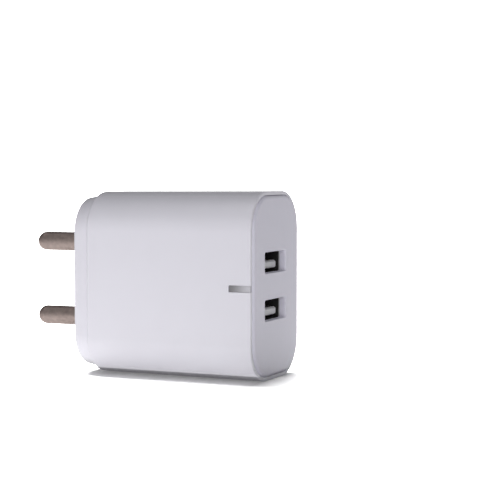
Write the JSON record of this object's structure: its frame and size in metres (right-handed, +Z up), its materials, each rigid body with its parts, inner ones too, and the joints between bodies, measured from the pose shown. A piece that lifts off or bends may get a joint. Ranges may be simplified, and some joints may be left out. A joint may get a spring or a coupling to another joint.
{
  "type": "usb wall charger",
  "caption": "USB wall charger with round plug pins, a rounded white case, an indicator slot and its power-supply electronics inside.",
  "frame": {"origin": "centre of the plug face, midway between the two pins", "axes": "-X along the pins into the wall socket, +X out through the USB ports, -Y out of the broad face with the indicator slot, +Z up from the narrow side it stands on"},
  "size_m": [0.0662, 0.0294, 0.0452],
  "materials": {
    "case_plastic": "glossy white moulding",
    "plate_plastic": "glossy white moulding",
    "nickel": "satin nickel plate",
    "spring_brass": "sprung strip",
    "lens_plastic": "frosted light guide",
    "clear_lamp": "clear epoxy lamp",
    "tinned_wire": "tinned leads",
    "board_laminate": "glass-epoxy laminate",
    "solder": "bright solder",
    "port_steel": "nickel-plated sheet",
    "port_plastic": "moulded white insulator",
    "gold_contact": "gold-flashed contacts",
    "ferrite": "dark grey ferrite",
    "bobbin_plastic": "black phenolic",
    "copper_wire": "enamelled copper",
    "yellow_tape": "polyester tape",
    "can_aluminium": "bare can",
    "sleeve_black": "shrunk sleeve",
    "bung_rubber": "black rubber",
    "sleeve_green": "shrunk sleeve",
    "sleeve_blue": "shrunk sleeve",
    "resistor_lacquer": "green lacquer",
    "blue_epoxy": "dipped epoxy",
    "epoxy_black": "moulded epoxy",
    "chip_ceramic": "tan ceramic",
    "clear_sheet": "thin insulating film"
  },
  "bodies": {
    "root": {"body_shell": "case_plastic", "front_plate": "plate_plastic", "pin_cap": "case_plastic", "upper_pin": "nickel", "lower_pin": "nickel", "upper_contact_spring": "spring_brass", "lower_contact_spring": "spring_brass", "light_pipe": "lens_plastic", "status_led": "clear_lamp", "status_led_legs": "tinned_wire", "main_board": "board_laminate", "solder_joints": "solder", "upper_port_shell": "port_steel", "upper_port_insulator": "port_plastic", "upper_port_contacts": "gold_contact", "lower_port_shell": "port_steel", "lower_port_insulator": "port_plastic", "lower_port_contacts": "gold_contact", "transformer_core": "ferrite", "transformer_bobbin": "bobbin_plastic", "transformer_winding": "copper_wire", "transformer_tape": "yellow_tape", "transformer_pins": "tinned_wire", "input_capacitor_cans": "can_aluminium", "input_capacitor_sleeves": "sleeve_black", "input_capacitor_bungs": "bung_rubber", "input_capacitor_legs": "tinned_wire", "output_capacitor_cans": "can_aluminium", "output_capacitor_sleeves": "sleeve_green", "output_capacitor_bungs": "bung_rubber", "output_capacitor_legs": "tinned_wire", "supply_capacitor_can": "can_aluminium", "supply_capacitor_sleeve": "sleeve_blue", "supply_capacitor_bung": "bung_rubber", "supply_capacitor_legs": "tinned_wire", "fuse_resistor": "resistor_lacquer", "fuse_resistor_leads": "tinned_wire", "varistor": "blue_epoxy", "varistor_leads": "tinned_wire", "filter_choke_core": "ferrite", "filter_choke_coil": "copper_wire", "filter_choke_leads": "copper_wire", "safety_capacitor": "blue_epoxy", "safety_capacitor_leads": "tinned_wire", "bridge_rectifier": "epoxy_black", "bridge_rectifier_leads": "tinned_wire", "switching_controller": "epoxy_black", "switching_controller_leads": "tinned_wire", "optocoupler": "epoxy_black", "optocoupler_leads": "tinned_wire", "output_diode": "epoxy_black", "output_diode_leads": "tinned_wire", "chip_resistors": "epoxy_black", "chip_capacitors": "chip_ceramic", "insulation_sheet": "clear_sheet"}
  },
  "joints": []
}
